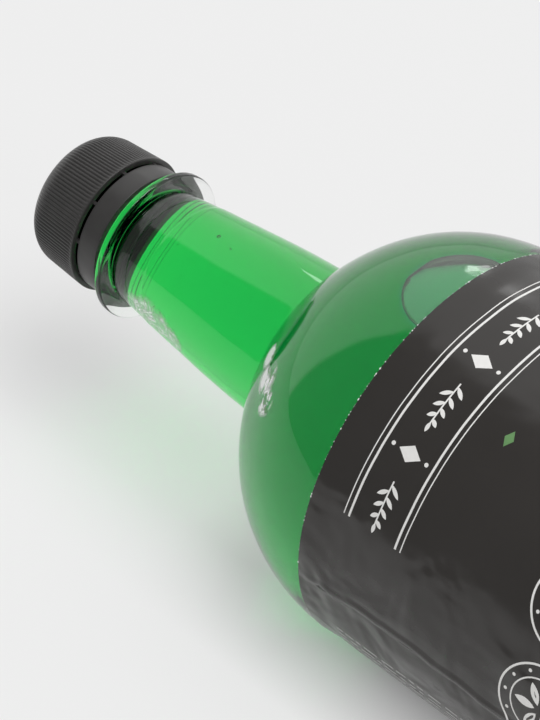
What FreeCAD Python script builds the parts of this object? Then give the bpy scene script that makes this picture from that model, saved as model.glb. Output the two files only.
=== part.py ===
"""One-litre syrup bottle lying on its side: a blown clear bottle with its filling, label and screw closure.

Millimetres. The bottle's axis is parallel to X and its closure points to +X. +Z is up, and Z = 0 is the
surface the bottle lies on. X = 0 is half way along the bottle, so the origin is the bottom centre of its box.
Every piece is drawn with its axis on X and its standing plane at x = 0, and its Placement lays it down.
"""
import FreeCAD, Part
import math
import os
import Sketcher

doc = FreeCAD.newDocument("syrup_bottle")

# --------------------------------------------------------------------------------------------------------
# Sizes. A driving size is a plain number. A following size is a formula on the others.
# Lengths along the axis that end in _x are counted from the plane that the bottle would stand on.
# --------------------------------------------------------------------------------------------------------
DRIVING = [
    ("bumper_radius", 41.75, "largest radius, at the heel and the shoulder"),
    ("panel_depth", 0.53, "label panel, below the bumpers"),
    ("panel_step", 0.5, "run of the step into the label panel"),
    ("wall", 0.45, "blown wall of the panel and upper shoulder, thicker at heel and bumpers"),
    ("base_wall", 1.0, "thicker wall under the base"),
    ("body_height", 164.0, "standing plane to the centre of the shoulder's curve"),
    ("heel_radius", 8.0, "rounding between base and body"),
    ("heel_bumper_width", 5.0, "band of full radius above the heel"),
    ("shoulder_lead", 0.8, "shoulder's curve ends this far before its centre"),
    ("standing_land", 2.25, "flat ring that the bottle stands on"),
    ("pushup_height", 10.0, "hollow under the base"),
    ("base_rib_height", 0.8, "radial ribs under the base"),
    ("base_rib_angle", 4.0, "angle that one radial rib spans"),
    ("base_rib_count", 8, "radial ribs"),
    ("gate_radius", 2.0, "moulding gate at the centre of the base"),
    ("gate_height", 1.0, "moulding gate"),
    ("shoulder_offset", 2.2, "centre of the shoulder's curve, off the axis"),
    ("neck_foot_flare", 1.75, "neck widens this much from its cone to the shoulder"),
    ("neck_foot_fillet", 1.2, "rounding between neck and shoulder"),
    ("neck_length", 45.3, "neck's foot to the middle of the support ring"),
    ("neck_cone_flare", 2.5, "neck widens this much along its cone"),
    ("neck_cone_length", 22.0, "ring's middle to the end of the cone"),
    ("neck_sweep_radius", 260.0, "long curve of the lower neck"),
    ("neck_top_reach", 0.45, "neck just below the support ring, out from the mouth"),
    ("neck_step_distance", 9.5, "ring's middle to the moulded step on the neck"),
    ("neck_step_height", 0.16, "moulded step"),
    ("neck_step_run", 0.5, "moulded step"),
    ("thinning_length", 14.0, "ring's middle to where the thick top of the neck has thinned out"),
    ("neck_wall", 0.7, "wall where the neck has thinned out"),
    ("mouth_wall", 1.43, "moulded wall of the mouth"),
    ("bore_depth", 3.0, "ring's middle to the end of the straight bore"),
    ("ring_reach", 4.2, "support ring, out from the mouth"),
    ("ring_thickness", 1.4, "support ring at its rim"),
    ("ring_root_reach", 0.45, "foot of the ring's sloping underside, out from the neck"),
    ("ring_root_drop", 0.8, "slope of the ring's underside"),
    ("ring_rim_chamfer", 0.3, "broken edges of the support ring's rim"),
    ("finish_radius", 12.3, "outside of the mouth under the closure"),
    ("finish_rise", 22.0, "ring's middle to the sealing land"),
    ("bead_reach", 0.8, "bead that holds the tamper band, out from the mouth"),
    ("bead_rise", 5.2, "ring's middle to the lower side of the bead"),
    ("bead_width", 1.4, "bead"),
    ("cap_wall", 1.49, "closure at the edge of its skirt"),
    ("cap_draft", 0.59, "closure is this much slimmer at its top"),
    ("cap_corner", 5.5, "rounded top edge of the closure"),
    ("cap_top_wall", 2.0, "top of the closure"),
    ("thread_room", 1.55, "room for the thread between mouth and closure"),
    ("mouth_clearance", 0.15, "closure, round the mouth's upper edge"),
    ("skirt_rise", 8.95, "ring's middle to the edge of the skirt"),
    ("slit_width", 0.85, "slit between skirt and tamper band"),
    ("bridge_count", 10, "bridges across the slit"),
    ("bridge_angle", 3.0, "angle that one bridge spans"),
    ("band_wall", 1.1, "tamper band"),
    ("band_clearance", 0.2, "tamper band, round the bead"),
    ("band_rise", 3.0, "ring's middle to the tamper band's edge"),
    ("lip_height", 0.65, "tamper band's lip reaches in under the bead"),
    ("lip_width", 0.9, "lip"),
    ("knurl_count", 120, "ribs round the skirt"),
    ("knurl_depth", 0.32, "groove between two ribs"),
    ("knurl_width", 0.5, "groove between two ribs, at the surface"),
    ("label_thickness", 0.12, "film label"),
    ("label_margin", 0.3, "bare panel at each end of the label"),
    ("label_lap_angle", 9.0, "overlap of the label's ends"),
    ("label_seam_angle", 140.0, "place of the overlap round the bottle"),
    ("air_depth", 1.65, "surface of the syrup, below the highest place inside"),
    ("rest_flat_depth", 0.35, "flat spots that the bottle lies on"),
]
FOLLOWING = [
    ("panel_radius", "=bumper_radius - panel_depth"),
    ("standing_radius", "=bumper_radius - heel_radius"),
    ("land_radius", "=standing_radius - standing_land"),
    ("dome_radius", "=(land_radius * land_radius + pushup_height * pushup_height) / (2 * pushup_height)"),
    ("heel_bumper_x", "=heel_radius + heel_bumper_width"),
    ("panel_start_x", "=heel_bumper_x + panel_step"),
    ("shoulder_radius", "=bumper_radius - shoulder_offset"),
    ("shoulder_edge_x", "=body_height + shoulder_lead"),
    ("shoulder_edge_radius", "=shoulder_offset + sqrt(shoulder_radius ^ 2 - shoulder_lead ^ 2)"),
    ("panel_end_x", "=shoulder_edge_x - panel_step"),
    ("neck_top_radius", "=finish_radius + neck_top_reach"),
    ("neck_cone_radius", "=neck_top_radius + neck_cone_flare"),
    ("neck_foot_radius", "=neck_cone_radius + neck_foot_flare"),
    ("foot_reach", "=neck_foot_radius - shoulder_offset"),
    ("neck_foot_x", "=body_height + sqrt(shoulder_radius ^ 2 - foot_reach ^ 2)"),
    ("ring_x", "=neck_foot_x + neck_length"),
    ("neck_cone_x", "=ring_x - neck_cone_length"),
    ("bore_radius", "=finish_radius - mouth_wall"),
    ("ring_radius", "=finish_radius + ring_reach"),
    ("ring_root_radius", "=neck_top_radius + ring_root_reach"),
    ("ring_foot_x", "=ring_x - ring_thickness / 2"),
    ("ring_root_x", "=ring_foot_x - ring_root_drop"),
    ("ring_top_x", "=ring_x + ring_thickness / 2"),
    ("neck_slope", "=(neck_cone_radius - neck_top_radius) / (ring_root_x - neck_cone_x)"),
    ("step_x", "=ring_x - neck_step_distance"),
    ("step_end_x", "=step_x - neck_step_run"),
    ("step_radius", "=neck_top_radius + neck_slope * (ring_root_x - step_x) - neck_step_height / 2"),
    ("step_end_radius", "=step_radius + neck_step_height"),
    ("bead_radius", "=finish_radius + bead_reach"),
    ("bead_x", "=ring_x + bead_rise"),
    ("bead_top_x", "=bead_x + bead_width"),
    ("finish_top_x", "=ring_x + finish_rise"),
    ("inner_panel_radius", "=panel_radius - wall"),
    ("inner_heel_radius", "=inner_panel_radius - standing_radius"),
    ("inner_heel_x", "=base_wall + inner_heel_radius"),
    ("level_height", "=inner_panel_radius - air_depth"),
    ("inner_shoulder_radius", "=shoulder_radius - wall"),
    ("inner_dome_x", "=pushup_height + base_wall"),
    ("inner_foot_radius", "=neck_foot_radius - wall"),
    ("inner_foot_reach", "=inner_foot_radius - shoulder_offset"),
    ("inner_foot_x", "=body_height + sqrt(inner_shoulder_radius ^ 2 - inner_foot_reach ^ 2)"),
    ("inner_cone_radius", "=neck_cone_radius - (wall + neck_wall) / 2"),
    ("thin_x", "=ring_x - thinning_length"),
    ("thin_radius", "=neck_top_radius + neck_slope * (ring_root_x - thin_x) - neck_wall"),
    ("bore_end_x", "=ring_x - bore_depth"),
    ("rib_inner_radius", "=gate_radius * 2.5"),
    ("rib_outer_radius", "=land_radius * 0.95"),
    ("rib_inner_x", "=pushup_height - dome_radius + sqrt(dome_radius ^ 2 - rib_inner_radius ^ 2)"),
    ("rib_outer_x", "=pushup_height - dome_radius + sqrt(dome_radius ^ 2 - rib_outer_radius ^ 2)"),
    ("rib_inner_tip_x", "=rib_inner_x - base_rib_height"),
    ("rib_outer_tip_x", "=rib_outer_x - base_rib_height / 4"),
    ("rib_inner_root_x", "=rib_inner_x + base_wall / 2"),
    ("rib_outer_root_x", "=rib_outer_x + base_wall / 2"),
    ("gate_tip_x", "=pushup_height - gate_height"),
    ("gate_root_x", "=pushup_height + base_wall / 2"),
    ("cap_top_x", "=finish_top_x + cap_top_wall"),
    ("cap_corner_x", "=cap_top_x - cap_corner"),
    ("cap_inner_radius", "=finish_radius + thread_room"),
    ("cap_radius", "=cap_inner_radius + cap_wall"),
    ("cap_upper_radius", "=cap_radius - cap_draft"),
    ("cap_flat_radius", "=cap_upper_radius - cap_corner"),
    ("cap_crown_radius", "=finish_radius + mouth_clearance"),
    ("skirt_x", "=ring_x + skirt_rise"),
    ("slit_x", "=skirt_x - slit_width"),
    ("band_inner_radius", "=bead_radius + band_clearance"),
    ("band_radius", "=band_inner_radius + band_wall"),
    ("band_x", "=ring_x + band_rise"),
    ("lip_x", "=band_x + lip_width"),
    ("lip_radius", "=band_inner_radius - lip_height"),
    ("slit_span", "=360 / bridge_count - bridge_angle"),
    ("cap_height", "=cap_top_x - skirt_x"),
    ("knurl_top", "=cap_radius + knurl_depth"),
    ("knurl_root", "=cap_radius - knurl_depth"),
    ("knurl_side", "=knurl_width"),
    ("label_radius", "=panel_radius + label_thickness"),
    ("label_lap_radius", "=label_radius + label_thickness"),
    ("label_start_x", "=panel_start_x + label_margin"),
    ("label_end_x", "=panel_end_x - label_margin"),
    ("axis_height", "=bumper_radius - rest_flat_depth"),
    ("overall_length", "=cap_top_x"),
    ("clear_length", "=cap_top_x + bumper_radius"),
    ("clear_radius", "=bumper_radius * 1.5"),
]

sizes = doc.addObject("Spreadsheet::Sheet", "sizes")
for row, (alias, number, note) in enumerate(DRIVING, start=1):
    sizes.set("A%d" % row, alias)
    sizes.set("B%d" % row, str(number))
    sizes.set("C%d" % row, note)
    sizes.setAlias("B%d" % row, alias)
doc.recompute()
for row, (alias, formula) in enumerate(FOLLOWING, start=len(DRIVING) + 1):
    sizes.set("A%d" % row, alias)
    sizes.set("B%d" % row, formula)
    sizes.setAlias("B%d" % row, alias)
    doc.recompute()


def size(alias):
    """Present value of a named size. A leading minus mirrors it, and "0" is the axis or the standing plane."""
    if alias == "0":
        return 0.0
    if alias.startswith("-"):
        return -size(alias[1:])
    return float(sizes.get(alias))


def bind(feature, target, alias):
    """Tie one property to a named size."""
    sign = "-" if alias.startswith("-") else ""
    feature.setExpression(target, sign + "sizes." + alias.lstrip("-"))


# --------------------------------------------------------------------------------------------------------
# Helpers for bodies and sketches
# --------------------------------------------------------------------------------------------------------
def new_body(label):
    """A body whose name is the piece's name, laid down with its axis above the surface."""
    body = doc.addObject("PartDesign::Body", label)
    body.Label = label
    bind(body, "Placement.Base.z", "axis_height")
    body.setExpression("Placement.Base.x", "-sizes.overall_length / 2")
    return body


def origin_part(body, role):
    """The body's own origin plane or axis with this role."""
    return next(part for part in body.Origin.OriginFeatures if part.Role == role)


def arc_between(start, end, radius, side):
    """Arc from start to end that bulges to the left (side 1) or the right (side -1) of its chord."""
    chord = end - start
    half = chord.Length / 2
    left = FreeCAD.Vector(-chord.y, chord.x, 0).normalize()
    centre = (start + end) * 0.5 - left * side * math.sqrt(radius ** 2 - half ** 2)
    angles = [math.atan2(point.y - centre.y, point.x - centre.x) for point in (start, end)]
    if side > 0:
        angles.reverse()
    circle = Part.Circle(centre, FreeCAD.Vector(0, 0, 1), radius)
    return Part.ArcOfCircle(circle, angles[0], angles[1])


def fix_point(sketch, edge, end, corner):
    """Hold one end of an edge at its two named distances from the sketch's origin."""
    for kind, alias, axis in (("DistanceX", corner[0], -2), ("DistanceY", corner[1], -1)):
        if alias == "0":
            sketch.addConstraint(Sketcher.Constraint("PointOnObject", edge, end, axis))
            continue
        number = sketch.addConstraint(Sketcher.Constraint(kind, -1, 1, edge, end, size(alias)))
        bind(sketch, "Constraints[%d]" % number, alias)


def outline(body, name, plane, corners, arcs=None):
    """Closed sketch through named corners. arcs gives {edge number: (radius, side)} for its round edges."""
    arcs = arcs or {}
    sketch = body.newObject("Sketcher::SketchObject", name)
    sketch.AttachmentSupport = [(origin_part(body, plane), "")]
    sketch.MapMode = "FlatFace"
    points = [FreeCAD.Vector(size(across), size(up), 0) for across, up in corners]
    first_end = []
    for number, start in enumerate(points):
        end = points[(number + 1) % len(points)]
        if number in arcs:
            radius, side = arcs[number]
            sketch.addGeometry(arc_between(start, end, size(radius), side), False)
            first_end.append(1 if side < 0 else 2)
        else:
            sketch.addGeometry(Part.LineSegment(start, end), False)
            first_end.append(1)
    for number, corner in enumerate(corners):
        following = (number + 1) % len(corners)
        last_end = 3 - first_end[number]
        sketch.addConstraint(
            Sketcher.Constraint("Coincident", number, last_end, following, first_end[following]))
        fix_point(sketch, number, first_end[number], corner)
    for number, (radius, side) in arcs.items():
        held = sketch.addConstraint(Sketcher.Constraint("Radius", number, size(radius)))
        bind(sketch, "Constraints[%d]" % held, radius)
    doc.recompute()
    return sketch


def turned(body, kind, name, sketch, angle=None):
    """Revolution or Groove of a sketch round the body's axis, all round unless an angle is named."""
    feature = body.newObject("PartDesign::" + kind, name)
    feature.Profile = sketch
    feature.ReferenceAxis = (sketch, ["H_Axis"])
    feature.Angle = 360.0
    if angle:
        bind(feature, "Angle", angle)
        feature.Midplane = True
    doc.recompute()
    return feature


def repeated(body, name, feature, count):
    """Polar pattern of a feature round the body's axis."""
    pattern = body.newObject("PartDesign::PolarPattern", name)
    pattern.Originals = [feature]
    pattern.Axis = (origin_part(body, "X_Axis"), [""])
    pattern.Angle = 360.0
    pattern.Occurrences = int(size(count))
    bind(pattern, "Occurrences", count)
    body.Tip = pattern
    doc.recompute()
    return pattern


def eased(body, kind, name, feature, edges, alias):
    """Fillet or Chamfer on the circular edges at the named places, each (distance along the axis, radius)."""
    wanted = [(size(along), size(out)) for along, out in edges]
    names = []
    for number, edge in enumerate(feature.Shape.Edges, start=1):
        if edge.Degenerated or not isinstance(edge.Curve, Part.Circle):
            continue
        found = (edge.Curve.Center.x, edge.Curve.Radius)
        if any(math.dist(found, place) < 1e-3 for place in wanted):
            names.append("Edge%d" % number)
    easing = body.newObject("PartDesign::" + kind, name)
    easing.Base = (feature, names)
    bind(easing, "Radius" if kind == "Fillet" else "Size", alias)
    doc.recompute()
    return easing


def cut_beyond(body, name, height, side):
    """Cut away all that lies beyond a level: above it (side 1) or below it (side -1)."""
    far = "clear_radius" if side > 0 else "-clear_radius"
    corners = [("-clear_radius", height), ("clear_length", height), ("clear_length", far), ("-clear_radius", far)]
    sketch = outline(body, name + "_outline", "XZ_Plane", corners)
    pocket = body.newObject("PartDesign::Pocket", name)
    pocket.Profile = sketch
    pocket.Midplane = True
    pocket.setExpression("Length", "2 * sizes.clear_radius")
    doc.recompute()
    return pocket


# --------------------------------------------------------------------------------------------------------
# Bottle: blown in one piece, with a thick injection-moulded mouth
# --------------------------------------------------------------------------------------------------------
INSIDE = [
    ("inner_dome_x", "0"),
    ("base_wall", "land_radius"),
    ("base_wall", "standing_radius"),
    ("inner_heel_x", "inner_panel_radius"),
    ("shoulder_edge_x", "inner_panel_radius"),
    ("inner_foot_x", "inner_foot_radius"),
    ("neck_cone_x", "inner_cone_radius"),
    ("thin_x", "thin_radius"),
    ("bore_end_x", "bore_radius"),
    ("finish_top_x", "bore_radius"),
    ("finish_top_x", "0"),
]
INSIDE_ARCS = {0: ("dome_radius", -1), 2: ("inner_heel_radius", 1),
               4: ("inner_shoulder_radius", 1), 5: ("neck_sweep_radius", 1)}


def build_bottle():
    """Shell of the bottle, from its hollow base to its sealing land."""
    body = new_body("bottle")
    outside = [
        ("pushup_height", "0"),
        ("0", "land_radius"),
        ("0", "standing_radius"),
        ("heel_radius", "bumper_radius"),
        ("heel_bumper_x", "bumper_radius"),
        ("panel_start_x", "panel_radius"),
        ("panel_end_x", "panel_radius"),
        ("shoulder_edge_x", "shoulder_edge_radius"),
        ("neck_foot_x", "neck_foot_radius"),
        ("neck_cone_x", "neck_cone_radius"),
        ("step_end_x", "step_end_radius"),
        ("step_x", "step_radius"),
        ("ring_root_x", "neck_top_radius"),
        ("ring_root_x", "ring_root_radius"),
        ("ring_foot_x", "ring_radius"),
        ("ring_top_x", "ring_radius"),
        ("ring_top_x", "finish_radius"),
        ("bead_x", "finish_radius"),
        ("bead_x", "bead_radius"),
        ("bead_top_x", "finish_radius"),
        ("finish_top_x", "finish_radius"),
        ("finish_top_x", "0"),
    ]
    arcs = {0: ("dome_radius", -1), 2: ("heel_radius", 1), 7: ("shoulder_radius", 1), 8: ("neck_sweep_radius", 1)}
    form = turned(body, "Revolution", "form", outline(body, "form_outline", "XZ_Plane", outside, arcs))
    foot = eased(body, "Fillet", "neck_foot", form, [("neck_foot_x", "neck_foot_radius")], "neck_foot_fillet")
    rim = [("ring_foot_x", "ring_radius"), ("ring_top_x", "ring_radius")]
    eased(body, "Chamfer", "ring_rim", foot, rim, "ring_rim_chamfer")
    turned(body, "Groove", "inside", outline(body, "inside_outline", "XZ_Plane", INSIDE, INSIDE_ARCS))
    add_base_details(body)
    cut_beyond(body, "rest_flats", "-axis_height", -1)
    return body


def add_base_details(body):
    """Radial ribs and the moulding gate in the hollow under the base."""
    rib = [
        ("rib_inner_root_x", "rib_inner_radius"),
        ("rib_inner_tip_x", "rib_inner_radius"),
        ("rib_outer_tip_x", "rib_outer_radius"),
        ("rib_outer_root_x", "rib_outer_radius"),
    ]
    arcs = {1: ("dome_radius", -1), 3: ("dome_radius", 1)}
    sketch = outline(body, "base_rib_outline", "XZ_Plane", rib, arcs)
    repeated(body, "base_ribs", turned(body, "Revolution", "base_rib", sketch, "base_rib_angle"), "base_rib_count")
    gate = [("gate_tip_x", "0"), ("gate_tip_x", "gate_radius"), ("gate_root_x", "gate_radius"), ("gate_root_x", "0")]
    turned(body, "Revolution", "gate", outline(body, "gate_outline", "XZ_Plane", gate))


def build_syrup():
    """Filling: the inside of the bottle up to a level surface just under the upper wall."""
    body = new_body("syrup")
    turned(body, "Revolution", "fill", outline(body, "fill_outline", "XZ_Plane", INSIDE, INSIDE_ARCS))
    cut_beyond(body, "level", "level_height", 1)
    return body


# --------------------------------------------------------------------------------------------------------
# Closure: one moulding, a ribbed skirt with a smooth tamper band that hangs on thin bridges
# --------------------------------------------------------------------------------------------------------
def build_cap():
    """Screw closure with its tamper band still joined to the skirt."""
    body = new_body("cap")
    section = [
        ("finish_top_x", "0"),
        ("cap_top_x", "0"),
        ("cap_top_x", "cap_flat_radius"),
        ("cap_corner_x", "cap_upper_radius"),
        ("skirt_x", "cap_radius"),
        ("skirt_x", "band_radius"),
        ("band_x", "band_radius"),
        ("band_x", "lip_radius"),
        ("lip_x", "lip_radius"),
        ("lip_x", "band_inner_radius"),
        ("skirt_x", "band_inner_radius"),
        ("skirt_x", "cap_inner_radius"),
        ("cap_corner_x", "cap_inner_radius"),
        ("finish_top_x", "cap_crown_radius"),
    ]
    sketch = outline(body, "closure_outline", "XZ_Plane", section, {2: ("cap_corner", -1)})
    turned(body, "Revolution", "closure", sketch)
    add_knurls(body)
    slit = [("slit_x", "lip_radius"), ("skirt_x", "lip_radius"), ("skirt_x", "knurl_top"), ("slit_x", "knurl_top")]
    cut = turned(body, "Groove", "slit", outline(body, "slit_outline", "XZ_Plane", slit), "slit_span")
    repeated(body, "slits", cut, "bridge_count")
    return body


def add_knurls(body):
    """Ribs round the skirt, left by V grooves that follow the skirt's draft and run out in its top edge."""
    groove = [("-knurl_side", "knurl_top"), ("0", "knurl_root"), ("knurl_side", "knurl_top")]
    sketch = outline(body, "knurl_outline", "YZ_Plane", groove)
    bind(sketch, "AttachmentOffset.Base.z", "skirt_x")
    pocket = body.newObject("PartDesign::Pocket", "knurl")
    pocket.Profile = sketch
    pocket.UseCustomVector = True
    pocket.Direction = FreeCAD.Vector(size("cap_height") - size("cap_corner"), 0, -size("cap_draft"))
    bind(pocket, "Length", "cap_height")
    pocket.Reversed = False
    doc.recompute()
    repeated(body, "knurls", pocket, "knurl_count")


# --------------------------------------------------------------------------------------------------------
# Label: a film wrapped once round the panel, with its ends glued one over the other
# --------------------------------------------------------------------------------------------------------
def build_label():
    """Film label in the recessed panel, turned so that its seam lies low at the back."""
    body = new_body("label")
    film = [
        ("label_start_x", "panel_radius"),
        ("label_end_x", "panel_radius"),
        ("label_end_x", "label_radius"),
        ("label_start_x", "label_radius"),
    ]
    turned(body, "Revolution", "film", outline(body, "film_outline", "XZ_Plane", film))
    lap = [
        ("label_start_x", "label_radius"),
        ("label_end_x", "label_radius"),
        ("label_end_x", "label_lap_radius"),
        ("label_start_x", "label_lap_radius"),
    ]
    sketch = outline(body, "lap_outline", "XZ_Plane", lap)
    turned(body, "Revolution", "lap", sketch, "label_lap_angle")
    body.Placement.Rotation = FreeCAD.Rotation(FreeCAD.Vector(1, 0, 0), size("label_seam_angle"))
    bind(body, "Placement.Rotation.Angle", "label_seam_angle")
    doc.recompute()
    return body


# --------------------------------------------------------------------------------------------------------
# Build, check and write
# --------------------------------------------------------------------------------------------------------
pieces = [build_bottle(), build_syrup(), build_cap(), build_label()]
doc.recompute()

faults = [item.Label for item in doc.Objects if "Invalid" in item.State or "Error" in item.State]
if faults:
    raise RuntimeError("these objects failed: " + ", ".join(faults))
for piece in pieces:
    if piece.Shape.isNull() or not piece.Shape.isValid():
        raise RuntimeError(piece.Label + " has no valid shape")

os.makedirs("parts", exist_ok=True)
for piece in pieces:
    piece.Shape.exportStep(os.path.join("parts", piece.Label + ".step"))
    box = piece.Shape.optimalBoundingBox(False, False)
    print("%-7s solids %d  volume %8.1f mm3  x %7.2f to %7.2f  z %6.2f to %6.2f" % (
        piece.Label, len(piece.Shape.Solids), piece.Shape.Volume, box.XMin, box.XMax, box.ZMin, box.ZMax))
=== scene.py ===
# %% [markdown]
# A syrup bottle that lies on its side: a blown clear bottle, its green filling, a printed black film label
# and a ribbed black closure. The solids come from the packed frame, which also holds every size and place.
# What light bends through has to be far smoother than a packed solid, so each piece is drawn again here
# from the same outline and put exactly where the frame says.

# %% Load the frame
import math
import random
import bpy
import numpy as np
from mathutils import Matrix, Vector
from mathutils.kdtree import KDTree


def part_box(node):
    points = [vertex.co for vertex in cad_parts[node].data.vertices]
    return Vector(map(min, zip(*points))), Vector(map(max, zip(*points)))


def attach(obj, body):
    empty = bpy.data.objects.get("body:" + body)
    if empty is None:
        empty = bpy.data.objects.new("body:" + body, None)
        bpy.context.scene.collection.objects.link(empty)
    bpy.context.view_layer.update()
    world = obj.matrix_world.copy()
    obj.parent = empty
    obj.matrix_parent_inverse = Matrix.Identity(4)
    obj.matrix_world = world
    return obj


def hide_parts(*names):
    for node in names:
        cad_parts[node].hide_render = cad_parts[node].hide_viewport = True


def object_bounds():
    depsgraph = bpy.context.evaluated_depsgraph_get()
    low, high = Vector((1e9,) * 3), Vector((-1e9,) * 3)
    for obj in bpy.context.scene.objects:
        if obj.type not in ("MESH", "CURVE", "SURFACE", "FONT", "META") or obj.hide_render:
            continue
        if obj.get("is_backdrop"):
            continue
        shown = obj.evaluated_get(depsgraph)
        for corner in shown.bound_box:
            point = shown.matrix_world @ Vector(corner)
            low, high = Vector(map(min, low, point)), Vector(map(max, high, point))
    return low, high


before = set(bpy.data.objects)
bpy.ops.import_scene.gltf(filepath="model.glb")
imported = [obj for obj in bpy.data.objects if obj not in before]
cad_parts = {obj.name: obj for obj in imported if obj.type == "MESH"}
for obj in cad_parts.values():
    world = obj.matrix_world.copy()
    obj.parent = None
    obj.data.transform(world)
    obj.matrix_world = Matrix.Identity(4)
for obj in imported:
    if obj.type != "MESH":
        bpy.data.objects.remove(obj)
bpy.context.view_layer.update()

# %% [markdown]
# Outlines are drawn in millimetres as pairs: the distance along the bottle from the plane that it would
# stand on, and the distance from its axis. Two numbers from the frame then place them: where the standing
# plane is, and how high the axis lies.

# %% Place of the axis
MM = 0.001
BUMPER_RADIUS = 41.75
foot_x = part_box("bottle")[0].x
axis_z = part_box("bottle")[1].z - BUMPER_RADIUS * MM
print("standing plane at x", round(foot_x, 5), "axis at z", round(axis_z, 5))

# %% Helpers for outlines
def arc(centre, start, end, steps):
    """Points of a circular arc between two points, the short way round."""
    first = math.atan2(start[1] - centre[1], start[0] - centre[0])
    turn = math.atan2(end[1] - centre[1], end[0] - centre[0]) - first
    turn = (turn + math.pi) % (2 * math.pi) - math.pi
    radius = math.dist(centre, start)
    angles = [first + turn * k / steps for k in range(steps + 1)]
    return [(centre[0] + radius * math.cos(a), centre[1] + radius * math.sin(a)) for a in angles]


def sweep(start, end, radius, steps):
    """An arc of a given radius that bulges away from the axis, for an outline drawn towards the closure."""
    (x0, r0), (x1, r1) = start, end
    chord = math.dist(start, end)
    reach = math.sqrt(radius ** 2 - chord ** 2 / 4) / chord
    centre = ((x0 + x1) / 2 + (r1 - r0) * reach, (r0 + r1) / 2 - (x1 - x0) * reach)
    return arc(centre, start, end, steps)


def eased(points, corner, reach, steps=6):
    """Rounds the corner of a polyline, from reach before it to reach after it."""
    points = [tuple(p) for p in points]
    at = min(range(len(points)), key=lambda i: math.dist(points[i], corner))

    def walk(step):
        left, i = reach, at
        while 0 <= i + step < len(points):
            span = math.dist(points[i], points[i + step])
            if span >= left:
                f = left / span
                a, b = points[i], points[i + step]
                return i + step, (a[0] + (b[0] - a[0]) * f, a[1] + (b[1] - a[1]) * f)
            left, i = left - span, i + step
        return i, points[i]

    (before, first), (after, last) = walk(-1), walk(1)
    middle = points[at]
    curve = []
    for k in range(steps + 1):
        t = k / steps
        weights = ((1 - t) ** 2, 2 * t * (1 - t), t ** 2)
        curve.append(tuple(sum(w * p[i] for w, p in zip(weights, (first, middle, last))) for i in (0, 1)))
    return points[:before + 1] + curve + points[after:]


def filled(points, longest):
    """Divides the long straight runs of an outline."""
    made = [points[0]]
    for a, b in zip(points, points[1:]):
        parts = max(1, math.ceil(math.dist(a, b) / longest))
        for k in range(1, parts + 1):
            made.append((a[0] + (b[0] - a[0]) * k / parts, a[1] + (b[1] - a[1]) * k / parts))
    return made


print("a quarter arc in 8 steps has", len(arc((0, 0), (1, 0), (0, 1), 8)), "points")


# %% Helpers for meshes
def placed(x, r, angle):
    """Points in metres in the frame. The angle is 0 at the top and grows towards +Y."""
    return np.stack([foot_x + x * MM, r * np.sin(angle) * MM, axis_z + r * np.cos(angle) * MM], axis=-1)


def signed_volume(points, faces):
    corners = np.array([(f[0], f[k], f[k + 1]) for f in faces for k in range(1, len(f) - 1)])
    a, b, c = np.asarray(points)[corners].transpose(1, 0, 2)
    return float((a * np.cross(b, c)).sum() / 6)


def turned_over(faces):
    return [tuple(reversed(f)) for f in faces]


def raw_piece(name, points, faces=()):
    """A mesh object in the scene, with its faces as they are given."""
    mesh = bpy.data.meshes.new(name)
    mesh.from_pydata(np.asarray(points, float).tolist(), [], faces)
    piece = bpy.data.objects.new(name, mesh)
    bpy.context.scene.collection.objects.link(piece)
    return piece


def smoothed(piece, sharp_angle=40):
    """Smooth shading, with an edge left sharp where it turns by more than an angle."""
    piece.data.shade_smooth()
    piece.data.set_sharp_from_angle(angle=math.radians(sharp_angle))
    return piece


def new_piece(name, points, faces, sharp_angle=40):
    """A smoothly shaded solid, with its faces turned outwards."""
    if signed_volume(points, faces) < 0:
        faces = turned_over(faces)
    return smoothed(raw_piece(name, points, faces), sharp_angle)


def mark(piece, name, values):
    """Stores a number on each point of a piece, for its finish to read."""
    layer = piece.data.attributes.new(name, "FLOAT", "POINT")
    layer.data.foreach_set("value", np.asarray(values, float))


def lathe_mesh(outline, turns, shaped=None, ring=False):
    """A turned solid. Its outline runs from axis to axis, or closes on itself as a ring."""
    outline = np.array(outline, float)
    angle = np.arange(turns) * 2 * math.pi / turns
    body = outline if ring else outline[1:-1]
    x, a = np.meshgrid(body[:, 0], angle, indexing="ij")
    r = np.repeat(body[:, 1:2], turns, axis=1)
    if shaped:
        x, r = shaped(x, r, a)
    points = placed(x, r, a).reshape(-1, 3)
    rows = len(body)
    faces = []
    for i in range(rows if ring else rows - 1):
        below, above = i * turns, (i + 1) % rows * turns
        for j in range(turns):
            beside = (j + 1) % turns
            faces.append((below + j, below + beside, above + beside, above + j))
    if not ring:
        poles = placed(outline[[0, -1], 0], np.zeros(2), np.zeros(2))
        first, last = len(points), len(points) + 1
        points = np.vstack([points, poles])
        top = (rows - 1) * turns
        faces += [(first, (j + 1) % turns, j) for j in range(turns)]
        faces += [(last, top + j, top + (j + 1) % turns) for j in range(turns)]
    return points, faces


def joined(parts):
    """Several (points, faces) pairs as one."""
    points, faces, count = [], [], 0
    for p, f in parts:
        points.append(p)
        faces += [tuple(i + count for i in face) for face in f]
        count += len(p)
    return np.vstack(points), faces


print("a turned cone with 12 sides has", len(lathe_mesh([(0, 0), (0, 1), (1, 0)], 12)[1]), "faces")


# %% [markdown]
# Materials are node trees. Each helper below makes one kind of node, so that a finish reads as a short
# list of what it is made of: a colour that varies, a roughness that varies, and a bump at the right
# scale. Patterns read the object's own coordinates, which here are metres in the frame.

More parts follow.
